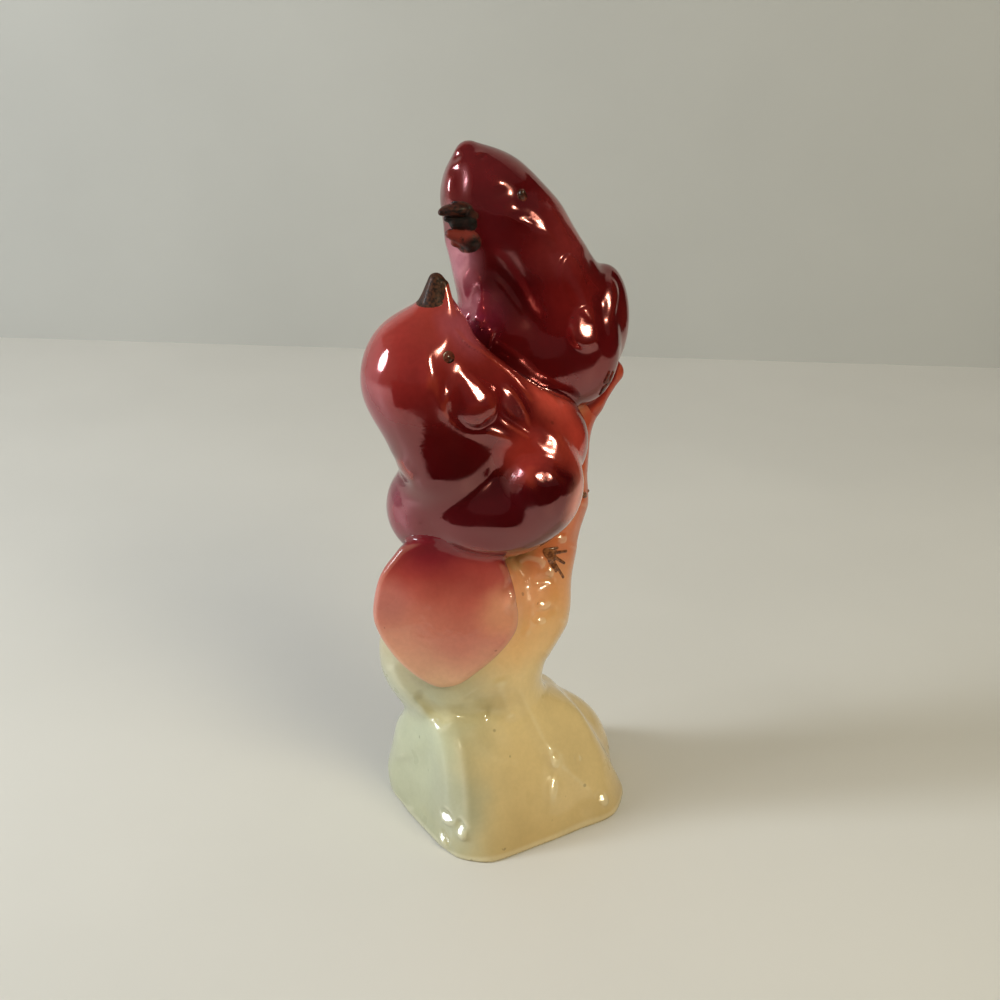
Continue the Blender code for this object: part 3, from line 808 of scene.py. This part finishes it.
class Nodes:
    def __init__(self, name):
        self.m = bpy.data.materials.new(name)
        self.m.use_nodes = True
        self.t = self.m.node_tree
        self.t.nodes.clear()
        self.out = self.new("ShaderNodeOutputMaterial")
        self.b = self.new("ShaderNodeBsdfPrincipled")
        self.link(self.b.outputs[0], self.out.inputs[0])
        self.place = self.new("ShaderNodeTexCoord").outputs["Object"]

    def new(self, kind, **kw):
        n = self.t.nodes.new(kind)
        for k, v in kw.items():
            setattr(n, k, v)
        return n

    def link(self, a, b):
        self.t.links.new(a, b)

    def put(self, sock, v):
        if isinstance(v, bpy.types.NodeSocket):
            self.link(v, sock)
        else:
            sock.default_value = v

    def math(self, op, a, b=0.0, clamp=False):
        n = self.new("ShaderNodeMath", operation=op, use_clamp=clamp)
        self.put(n.inputs[0], a)
        self.put(n.inputs[1], b)
        return n.outputs[0]

    def noise(self, scale, detail=3.0, rough=0.5, offset=0.0):
        """scale in features per metre."""
        n = self.new("ShaderNodeTexNoise", noise_dimensions="3D")
        src = self.place
        if offset:
            m = self.new("ShaderNodeMapping")
            m.inputs["Location"].default_value = (offset, offset * 1.7, -offset)
            self.link(self.place, m.inputs["Vector"])
            src = m.outputs[0]
        self.link(src, n.inputs["Vector"])
        n.inputs["Scale"].default_value = scale
        n.inputs["Detail"].default_value = detail
        n.inputs["Roughness"].default_value = rough
        return n.outputs["Fac"]

    def attr(self, key):
        return self.new("ShaderNodeAttribute", attribute_type="GEOMETRY", attribute_name=key).outputs["Fac"]

    def ramp(self, fac, stops, ease=False):
        n = self.new("ShaderNodeValToRGB")
        n.color_ramp.interpolation = "EASE" if ease else "LINEAR"
        e = n.color_ramp.elements
        while len(e) < len(stops):
            e.new(0.5)
        for i, (at, c) in enumerate(stops):
            e[i].position = at
            e[i].color = c
        self.put(n.inputs[0], fac)
        return n.outputs[0]

    def mix(self, fac, a, b, blend="MIX"):
        n = self.new("ShaderNodeMix", data_type="RGBA", blend_type=blend, clamp_factor=True)
        self.put(n.inputs[0], fac)
        self.put(n.inputs[6], a)
        self.put(n.inputs[7], b)
        return n.outputs[2]

    def span(self, v, lo, hi, to_lo=0.0, to_hi=1.0):
        n = self.new("ShaderNodeMapRange", interpolation_type="SMOOTHSTEP")
        self.put(n.inputs["Value"], v)
        n.inputs["From Min"].default_value = lo
        n.inputs["From Max"].default_value = hi
        n.inputs["To Min"].default_value = to_lo
        n.inputs["To Max"].default_value = to_hi
        return n.outputs["Result"]

    def xyz(self):
        n = self.new("ShaderNodeSeparateXYZ")
        self.link(self.place, n.inputs[0])
        return n.outputs

    def vor(self, scale):
        n = self.new("ShaderNodeTexVoronoi", feature="F1", voronoi_dimensions="3D")
        self.link(self.place, n.inputs["Vector"])
        n.inputs["Scale"].default_value = scale
        return n.outputs

    def bump(self, height, strength, distance):
        n = self.new("ShaderNodeBump")
        n.inputs["Strength"].default_value = strength
        n.inputs["Distance"].default_value = distance
        self.put(n.inputs["Height"], height)
        return n.outputs[0]


def glaze(name, heights, thin=None, thin_at=(0.12, 0.6), thin_amount=0.8, pooled=None, pool_amount=0.8,
          rough=0.32, mottling=0.12, freckles=0.35, painted_lamp_tint=None, painted_window_tint=None, zones=(), late=(), lustre=None):
    """Glossy glaze whose colour follows height, breaks on ridges and darkens in folds."""
    n = Nodes(name)
    z = n.xyz()[2]
    wander = n.math("MULTIPLY", n.math("SUBTRACT", n.noise(38, 3), 0.5), 0.022)
    z = n.math("ADD", z, wander)
    zz = n.math("MULTIPLY", z, 1 / 0.17)
    col = n.ramp(zz, [(h / 170.0, srgb(*c)) for h, c in heights])
    if painted_lamp_tint:
        # painted light: yellower towards the lamp on the right and greener towards the window on the left, set by the
        # side of the figure
        side = n.new("ShaderNodeVectorMath", operation="DOT_PRODUCT")
        n.link(n.place, side.inputs[0])
        side.inputs[1].default_value = (math.cos(TURN), math.sin(TURN) , 0.0)
        across = n.math("ADD", side.outputs["Value"], n.math("MULTIPLY", n.math("SUBTRACT", n.noise(60, 3, 0.5, 8.8), 0.5), 0.010))
        col = n.mix(n.span(across, -0.016, 0.006, 0.0, 1.0), n.mix(1.0, col, srgb(*painted_window_tint), "MULTIPLY"), n.mix(1.0, col, srgb(*painted_lamp_tint), "MULTIPLY"))

    def tinted(col, patches):
        for at, reach, tint, amount in patches:
            far = n.new("ShaderNodeVectorMath", operation="DISTANCE")
            n.link(n.place, far.inputs[0])
            far.inputs[1].default_value = tuple(world(np.asarray(at, float)))
            edge = n.math("ADD", far.outputs["Value"], n.math("MULTIPLY", n.math("SUBTRACT", n.noise(95, 3, 0.5, 3.9), 0.5), reach * MM * 0.5))
            col = n.mix(n.span(edge, reach * MM * 0.25, reach * MM, amount, 0.0), col, srgb(*tint))
        return col

    # tints by place; in the materials below several are painted light, noted where they are given
    col = tinted(col, zones)
    ridge = n.math("ADD", n.attr("ridge"), n.math("MULTIPLY", n.math("SUBTRACT", n.noise(160, 4, 0.6, 0.3), 0.5), 0.25))
    if pooled:
        col = n.mix(n.math("MULTIPLY", n.span(n.attr("pool"), 0.12, 0.9), pool_amount), col, srgb(*pooled))
    if thin:
        col = n.mix(n.math("MULTIPLY", n.span(ridge, *thin_at), thin_amount), col, srgb(*thin))
    # late tints go over the thin and pooled colour; on the foot they hold painted light and painted shade
    col = tinted(col, late)
    # slow clouds and fine mottling in the spray
    cloud = n.span(n.noise(75, 4, 0.55, 1.1), 0.3, 0.7, 1 - mottling, 1 + mottling)
    fine = n.span(n.noise(900, 2, 0.5, 2.2), 0.3, 0.7, 1 - mottling * 0.35, 1 + mottling * 0.35)
    shade = n.math("MULTIPLY", cloud, fine)
    grey = n.new("ShaderNodeCombineColor")
    for s in grey.inputs:
        n.link(shade, s)
    col = n.mix(1.0, col, grey.outputs[0], "MULTIPLY")
    # dark iron freckles, few and small
    v = n.vor(330)
    spot = n.math("MULTIPLY", n.span(v["Distance"], 0.10, 0.20, 1.0, 0.0),
                  n.math("GREATER_THAN", n.noise(330, 0, 0.5, 5.5), 0.71))
    col = n.mix(n.math("MULTIPLY", spot, freckles), col, srgb(46, 26, 18))
    n.link(col, n.b.inputs["Base Color"])
    # glossy coat with a faint orange peel and pinholes
    pin = n.span(n.vor(420)["Distance"], 0.05, 0.13, -1.0, 0.0)
    pin = n.math("MULTIPLY", pin, n.math("GREATER_THAN", n.noise(300, 0, 0.5, 9.1), 0.70))
    peel = n.math("ADD", n.noise(520, 2, 0.5, 3.3), n.math("MULTIPLY", n.noise(170, 2, 0.5, 4.4), 1.6))
    height = n.math("ADD", peel, n.math("MULTIPLY", pin, 1.2))
    n.link(n.bump(height, 0.22, 0.00025), n.b.inputs["Coat Normal"])
    n.link(n.bump(n.noise(700, 3, 0.5, 6.1), 0.15, 0.0002), n.b.inputs["Normal"])
    r = n.span(n.noise(120, 2, 0.5, 7.7), 0.3, 0.7, rough - 0.05, rough + 0.06)
    n.link(r, n.b.inputs["Roughness"])
    n.b.inputs["Coat Roughness"].default_value = 0.045
    if lustre:
        # a copper-red glaze mirrors the room in its own colour
        n.b.inputs["Coat Weight"].default_value = 0.4
        n.b.inputs["Coat IOR"].default_value = 1.5
        n.b.inputs["IOR"].default_value = 1.75
        n.b.inputs["Specular IOR Level"].default_value = 1.0
        n.b.inputs["Specular Tint"].default_value = lustre
    else:
        n.b.inputs["Coat Weight"].default_value = 0.8
        n.b.inputs["Coat IOR"].default_value = 1.5
        n.b.inputs["Specular IOR Level"].default_value = 0.12
    return n


# colour by height; the lowest stops are darker, painted shade along the table
IVORY = [(0, (204, 194, 160)), (9, (220, 212, 180)), (26, (228, 222, 190)), (38, (230, 220, 188)), (47, (232, 204, 166)),
         (58, (226, 176, 134)), (68, (210, 134, 100)), (84, (196, 100, 72)), (96, (188, 82, 58)), (112, (140, 36, 30))]
stump_glaze = glaze("glaze_cream", IVORY, thin=(244, 236, 206), thin_at=(0.2, 1.0), thin_amount=0.25,
                    pooled=(196, 178, 124), pool_amount=0.5, mottling=0.05, freckles=0.35,
                    # painted light: the lamp's yellow on the right of the foot and the window's green-grey on its left
                    painted_lamp_tint=(255, 232, 198), painted_window_tint=(208, 217, 213),
                    zones=((P(450, 805, -28), 14, (172, 172, 146), 0.7),),
                    # late tints: the pale patch beside the limb is painted light over the limb's shadow; the dark red
                    # under the lower bird is partly red glaze, partly painted shade; the red at the twig is the glaze's
                    # own colour
                    late=((P(524, 598, -10), 11, (250, 178, 138), 0.55), (P(508, 556, -12), 9, (104, 32, 26), 0.85),
                          (P(597, 407, 10), 8, (186, 84, 62), 0.9))).m
limb_glaze = glaze("glaze_salmon", [(38, (226, 184, 140)), (44, (214, 160, 128)), (54, (200, 124, 104)), (63, (182, 90, 76)),
                                    (70, (156, 60, 54)), (76, (124, 34, 40)), (82, (96, 18, 28))],
                   thin=(232, 186, 154), thin_at=(0.5, 1.2), thin_amount=0.15,
                   pooled=(104, 20, 28), pool_amount=0.75, mottling=0.07, freckles=0.35,
                   zones=((P(506, 615, -20), 9, (224, 156, 118), 0.7), (P(384, 604, -18), 9, (188, 122, 112), 0.5))).m
tail_glaze = glaze("glaze_rose_tail", [(50, (176, 84, 66)), (66, (142, 46, 46)), (78, (116, 26, 34)), (100, (104, 18, 24))],
                   thin=(176, 72, 52), thin_at=(0.3, 1.1), thin_amount=0.4,
                   pooled=(64, 6, 14), pool_amount=0.7, mottling=0.10, freckles=0.4).m
twig_glaze = glaze("glaze_russet", [(90, (176, 70, 46)), (100, (170, 56, 40)), (110, (140, 40, 32))],
                   thin=(200, 96, 66), thin_amount=0.4, pooled=(92, 18, 20), mottling=0.12).m
LUSTRE = (1.0, 0.39, 0.41, 1.0)
rose_glaze = glaze("glaze_rose", [(66, (98, 22, 30)), (76, (74, 10, 16)), (95, (70, 7, 11)), (106, (82, 11, 13)),
                                  (113, (112, 24, 24)), (120, (140, 42, 38)), (128, (156, 54, 46)), (136, (166, 62, 48))],
                   thin=(178, 70, 48), thin_at=(0.3, 1.1), thin_amount=0.35, rough=0.12, lustre=LUSTRE,
                   pooled=(58, 4, 10), pool_amount=0.45, mottling=0.10, freckles=0.3,
                   # tints by place: the magenta down the left of head and belly, the pink on the crown and the pale
                   # pink on the right rim are painted reflections of the bright room; the orange at the seam and on the
                   # right flank is partly thinner glaze, partly painted lamp light; the others vary the red
                   zones=((P(545, 395, -2), 13, (230, 92, 76), 0.9), (P(574, 445, -8), 11, (206, 72, 58), 0.8),
                          (P(524, 452, -15), 10, (166, 52, 42), 0.8), (P(581, 474, -11), 7, (196, 90, 76), 0.7),
                          (P(579, 500, -14), 8, (238, 156, 142), 0.9), (P(372, 400, -8), 15, (128, 34, 62), 0.7),
                          (P(395, 505, -6), 14, (120, 32, 56), 0.7), (P(556, 452, -12), 6, (150, 56, 40), 0.5),
                          (P(468, 328, -12), 9, (186, 92, 108), 0.7))).m
maroon_glaze = glaze("glaze_maroon", [(95, (112, 26, 30)), (108, (96, 14, 18)), (135, (84, 10, 13)), (150, (84, 12, 16)),
                                      (165, (96, 22, 24))],
                     thin=(122, 36, 28), thin_at=(0.3, 1.1), thin_amount=0.35, rough=0.14, lustre=LUSTRE,
                     pooled=(42, 2, 8), pool_amount=0.5, mottling=0.12, freckles=0.35,
                     # tints by place: the near-black in the throat is painted shade; the magenta and the pale lavender
                     # down the left of the throat are painted reflections of the bright room; the others vary the red
                     zones=((P(500, 290, 4), 12, (56, 4, 7), 0.7), (P(476, 315, 5), 10, (128, 38, 62), 0.8),
                            (P(455, 262, 6), 9, (168, 104, 116), 0.85),
                            (P(560, 235, 8), 13, (138, 46, 46), 0.8), (P(575, 300, 6), 12, (120, 26, 24), 0.7),
                            (P(620, 330, 16), 12, (112, 28, 22), 0.7), (P(545, 365, 8), 11, (104, 24, 24), 0.5))).m


def paint(name, dark, light, rough, into=None, heights=None, scale=900, below=None, below_at=None, coat=0.7, shade=None):
    """Brown ceramic paint, brushed on: speckled, thin at its edge where the glaze shows."""
    n = Nodes(name)
    grain = n.span(n.noise(scale, 4, 0.65, 0.7), 0.38, 0.62)
    col = n.mix(grain, srgb(*dark), srgb(*light))
    if into:
        z = n.math("ADD", n.xyz()[2], n.math("MULTIPLY", n.math("SUBTRACT", n.noise(420, 3, 0.6, 1.9), 0.5), 0.0035))
        col = n.mix(n.span(z, heights[0] * MM, heights[1] * MM), srgb(*into), col)
    if below:
        z = n.math("ADD", n.xyz()[2], n.math("MULTIPLY", n.math("SUBTRACT", n.noise(700, 3, 0.6, 2.9), 0.5), 0.0016))
        patch = n.span(n.noise(330, 3, 0.6, 5.2), 0.46, 0.6)
        low = n.mix(patch, srgb(*below), col)
        if shade:
            far = n.new("ShaderNodeVectorMath", operation="DISTANCE")
            n.link(n.place, far.inputs[0])
            far.inputs[1].default_value = tuple(world(np.asarray(shade[0], float)))
            low = n.mix(n.span(far.outputs["Value"], shade[1] * MM * 0.5, shade[1] * MM, 0.9, 0.0), low, col)
        col = n.mix(n.span(z, below_at[0] * MM, below_at[1] * MM), low, col)
    n.link(col, n.b.inputs["Base Color"])
    n.b.inputs["Roughness"].default_value = rough
    n.b.inputs["Coat Weight"].default_value = coat
    n.b.inputs["Coat Roughness"].default_value = 0.12
    n.b.inputs["Specular IOR Level"].default_value = 0.25
    n.link(n.bump(n.noise(scale, 3, 0.6, 4.2), 0.35, 0.0004), n.b.inputs["Normal"])
    return n.m


beak_paint = paint("paint_brown_beak", (34, 18, 10), (78, 42, 24), 0.55, (142, 48, 34), (128.9, 131.2), scale=1500, coat=0.06)
bill_paint = paint("paint_brown_bill", (22, 11, 8), (70, 32, 20), 0.5, scale=800, coat=0.2)
LIP = float(P(460, 229, 3.0)[2])
gape_paint = paint("paint_brown_gape", (12, 6, 5), (36, 17, 11), 0.55, scale=700, below=(112, 36, 24), below_at=(LIP - 0.5, LIP + 0.1),
                   coat=0.25, shade=(P(473, 246, 3.0), 3.0))
eye_paint = paint("paint_brown_eye", (44, 26, 16), (110, 52, 38), 0.25, scale=420)
toe_paint = paint("paint_brown_foot", (88, 46, 22), (150, 92, 50), 0.4, scale=1100)
claw_paint = paint("paint_brown_claw", (58, 20, 14), (112, 42, 30), 0.4, scale=1100, coat=0.3)

# ---------------------------------------------------------------- build
def gape(p):
    """Lower half of the open bill with the dark inside of the mouth, clear of the upper half."""
    d = smin(bill_lower(p), bill_mouth(p), 0.6)
    return np.maximum(d, 0.12 - bill_upper(p))


def strokes(runs, width=0.8, proud=0.30):
    """Thin painted toes lying on the glaze: each run is (start, end) on the surface."""
    rods = [rod(a, b, width, width * 0.45) for a, b in runs]

    def f(p):
        d = rods[0](p)
        for r in rods[1:]:
            d = smin(d, r(p), 0.4)
        flat = np.abs(whole(p)) - proud
        return smax(d, flat, 0.25)
    return f


def surface_at(u, v, reach=(225, 420)):
    """First point of the whole figure seen at picture place (u, v)."""
    a, b = (u - 500) / FOCAL, (500 - v) / FOCAL
    d = np.array([a, b * ST + CT, b * CT - ST])
    d /= np.linalg.norm(d)
    eye = np.array([0, -BACK, UP])
    t = reach[0]
    for _ in range(120):
        s = float(whole((eye + d * t)[None].astype(F32))[0])
        if s < 0.004 or t > reach[1]:
            break
        t += s * 0.85
    return eye + d * t


piece("visual_stump", bonded(stump, (disc, 1.4), (lower, 3.0), (upper, 2.5), (twig, 2.5)),
      (-44, -46, -1), (44, 40, 112), "stump_base", "glaze_cream", stump_glaze)
piece("visual_limb_end", bonded(disc, (lower, 2.0)), (-36, -30, 32), (12, -4, 84), "limb_end_disc", "glaze_salmon", limb_glaze)
piece("visual_twig", bonded(twig, (upper, 1.5)), (6, 2, 84), (36, 28, 116), "twig_stub", "glaze_russet", twig_glaze)
piece("visual_lower_body", shared(lower, upper, 2.4, True), (-40, -34, 60), (34, 30, 142), "lower_bird_body", "glaze_rose", rose_glaze)
piece("visual_upper_body", shared(upper, lower, 2.4, False), (-26, -12, 92), (42, 36, 170), "upper_bird_body", "glaze_maroon", maroon_glaze)
piece("visual_lower_tail", bonded(lower_tail, (lower, 2.5)), (-38, 0, 48), (2, 44, 96), "lower_bird_tail", "glaze_rose", tail_glaze)
piece("visual_upper_tail", bonded(upper_tail, (upper, 2.5)), (-22, 8, 84), (20, 56, 132), "upper_bird_tail", "glaze_maroon", maroon_glaze)

FINE_GRAIN = 0.22 if FINE else 0.35
piece("visual_lower_beak", bonded(lower_beak, (lower, 1.2)), (-24, -16, 122), (-4, 0, 142), "lower_bird_beak", "paint_brown_beak", beak_paint, FINE_GRAIN, False)
piece("visual_upper_bill", bonded(bill_upper, (upper, 0.8)), (-18, -8, 140), (4, 12, 158), "upper_bird_beak_upper", "paint_brown_beak", bill_paint, FINE_GRAIN, False)
piece("visual_lower_bill", bonded(gape, (upper, 0.8)), (-18, -8, 134), (4, 12, 152), "upper_bird_beak_lower", "paint_brown_beak", gape_paint, FINE_GRAIN, False)
piece("visual_lower_eye_left", bonded(lower_eye_l, (lower, 0.5)), (-16, -22, 116), (-6, -12, 127), "lower_bird_eye_left", "paint_brown_eye", eye_paint, 0.16, False)
piece("visual_lower_eye_right", bonded(lower_eye_r, (lower, 0.5)), (-16, -2, 116), (-6, 8, 127), "lower_bird_eye_right", "paint_brown_eye", eye_paint, 0.16, False)
piece("visual_upper_eye_left", bonded(upper_eye_l, (upper, 0.4)), (0, -2, 148), (10, 8, 158), "upper_bird_eye_left", "paint_brown_eye", eye_paint, 0.16, False)
piece("visual_upper_eye_right", bonded(upper_eye_r, (upper, 0.4)), (-12, 16, 148), (-2, 26, 158), "upper_bird_eye_right", "paint_brown_eye", eye_paint, 0.16, False)


def seen_runs(*runs):
    return [(surface_at(*a), surface_at(*b)) for a, b in runs]


def box_of(runs, pad=2.0):
    pts = np.array([q for r in runs for q in r])
    return tuple(pts.min(0) - pad), tuple(pts.max(0) + pad)


runs = seen_runs(((547, 553), (566, 551)), ((546, 551), (557, 548)), ((548, 553), (564, 563)), ((548, 555), (563, 577)), ((551, 560), (556, 571)))
piece("visual_lower_foot_right", strokes(runs), *box_of(runs), "lower_bird_foot_right", "paint_brown_foot", toe_paint, 0.18, False)
runs = seen_runs(((588, 478), (588, 491)), ((584, 495), (589, 500)), ((590, 476), (591, 487)))
piece("visual_lower_foot_left", strokes(runs), *box_of(runs), "lower_bird_foot_left", "paint_brown_foot", toe_paint, 0.18, False)
runs = seen_runs(((608, 383), (613, 372)), ((606, 381), (609, 372)), ((604, 388), (600, 394)))
piece("visual_upper_foot", strokes(runs, 0.8), *box_of(runs), "upper_bird_foot", "paint_brown_foot", claw_paint, 0.18, False)

# ---------------------------------------------------------------- surroundings
def stage_plane(name, corners, material):
    me = bpy.data.meshes.new(name)
    me.from_pydata(corners, [], [tuple(range(len(corners)))])
    ob = bpy.data.objects.new(name, me)
    bpy.context.scene.collection.objects.link(ob)
    me.materials.append(material)
    return ob


def matt(name, colour, rough=0.6, spec=0.3):
    n = Nodes(name)
    tint = n.span(n.noise(6, 3), 0.3, 0.7, 0.97, 1.03)
    grey = n.new("ShaderNodeCombineColor")
    for s in grey.inputs:
        n.link(tint, s)
    n.link(n.mix(1.0, srgb(*colour), grey.outputs[0], "MULTIPLY"), n.b.inputs["Base Color"])
    n.b.inputs["Roughness"].default_value = rough
    n.b.inputs["Specular IOR Level"].default_value = spec
    return n.m


RIGHT = Vector((math.cos(TURN), math.sin(TURN), 0))
AWAY = Vector((-math.sin(TURN), math.cos(TURN), 0))


def lay(r, a, z):
    return RIGHT * (r * MM) + AWAY * (a * MM) + Vector((SHIFT[0] * MM, SHIFT[1] * MM, z * MM))


floor = stage_plane("floor", [lay(-1500, -1500, -0.02), lay(1500, -1500, -0.02), lay(1500, 240, -0.02), lay(-1500, 569, -0.02)],
                    matt("stage_floor", (214, 211, 204), 0.45, 0.35))
wall = matt("stage_backdrop", (188, 187, 182), 0.8, 0.1)
backdrop = stage_plane("backdrop", [lay(-1500, 569, -0.02), lay(1500, 240, -0.02), lay(1500, 240, 1400), lay(-1500, 569, 1400)], wall)
side_wall = stage_plane("side_wall", [lay(-1100, -1500, -0.02), lay(-1100, 569, -0.02), lay(-1100, 569, 1400), lay(-1100, -1500, 1400)], wall)
far_wall = stage_plane("far_wall", [lay(1300, 569, -0.02), lay(1300, -1500, -0.02), lay(1300, -1500, 1400), lay(1300, 569, 1400)], wall)
near_wall = stage_plane("near_wall", [lay(1300, -1300, -0.02), lay(-1100, -1300, -0.02), lay(-1100, -1300, 1400), lay(1300, -1300, 1400)], wall)
for ob in (far_wall, near_wall):
    ob.visible_glossy = False                      # pale to look at, dim in the glaze

def stage_screen(name, feet, top, material):
    """Upright strips along the given places on the floor."""
    rows = [lay(x, y, -0.02) for x, y in feet] + [lay(x, y, top) for x, y in feet]
    k = len(feet)
    me = bpy.data.meshes.new(name)
    me.from_pydata(rows, [], [(i, i + 1, k + i + 1, k + i) for i in range(k - 1)])
    ob = bpy.data.objects.new(name, me)
    bpy.context.scene.collection.objects.link(ob)
    me.materials.append(material)
    return ob


screen = stage_screen("dark_screen", [(-150, -118), (-70, -168), (900, -168)], 125,
                     matt("stage_dark", (26, 22, 20), 0.9, 0.0))
side_screen = stage_screen("side_screen", [(330, -168), (330, 420)], 420, screen.data.materials[0])
for ob in (screen, side_screen):                   # only the glaze sees them: the dim parts of the room
    ob.visible_camera = False
    ob.visible_diffuse = False
    ob.visible_shadow = False


def area(name, at, to, size, power, colour, shape="RECTANGLE"):
    d = bpy.data.lights.new(name, "AREA")
    d.shape = shape
    d.size, d.size_y = size
    d.energy = power
    d.color = colour
    ob = bpy.data.objects.new(name, d)
    bpy.context.scene.collection.objects.link(ob)
    ob.location = at
    ob.rotation_euler = (to - at).to_track_quat("-Z", "Y").to_euler()
    return ob


centre = lay(0, 0, 95)


def around(az, el, dist):
    """From the figure: az degrees to the right of the camera's side, el above the table."""
    a, e = math.radians(az), math.radians(el)
    return centre + RIGHT * (math.sin(a) * math.cos(e) * dist) - AWAY * (math.cos(a) * math.cos(e) * dist) + Vector((0, 0, math.sin(e) * dist))


area("window", around(-82, 20, 0.75), centre, (0.13, 0.28), 3.2, (0.84, 0.93, 1.0))
area("left_sky", around(-108, 6, 0.95), centre, (0.95, 0.75), 0.85, (0.97, 0.96, 1.0))
bulb = area("lamp", around(37, 35, 0.8), centre, (0.092, 0.092), 2.4, (1.0, 0.93, 0.62), "DISK")
bulb.visible_diffuse = False                       # its light reaches the table through the shade
spread = area("lamp_spread", around(37, 35, 0.8), centre, (0.46, 0.46), 2.4, (1.0, 0.93, 0.66), "DISK")
spread.visible_glossy = False
area("lamp_shade", around(37, 35, 0.83), centre, (0.27, 0.27), 0.65, (1.0, 0.84, 0.54), "DISK")
fill = area("left_fill", around(-75, 30, 1.1), centre, (0.4, 0.4), 3.4, (0.93, 0.96, 1.0))
fill.visible_glossy = False
above = area("ceiling", lay(0, -50, 1300), centre, (1.4, 1.4), 3.9, (1.0, 0.97, 0.93))
above.visible_glossy = False

w = bpy.data.worlds.new("room")
w.use_nodes = True
w.node_tree.nodes["Background"].inputs[0].default_value = (0.62, 0.60, 0.58, 1)
w.node_tree.nodes["Background"].inputs[1].default_value = 0.09
bpy.context.scene.world = w
bpy.context.scene.view_settings.view_transform = "Standard"

cam = bpy.data.cameras.new("camera")
cam.lens = 52.2
cam.sensor_width = 36.0
cam.clip_start, cam.clip_end = 0.02, 20
camera = bpy.data.objects.new("camera", cam)
bpy.context.scene.collection.objects.link(camera)
camera.location = lay(0, -BACK, UP)
look = AWAY * CT + Vector((0, 0, -ST))
camera.rotation_euler = look.to_track_quat("-Z", "Y").to_euler()
bpy.context.scene.camera = camera
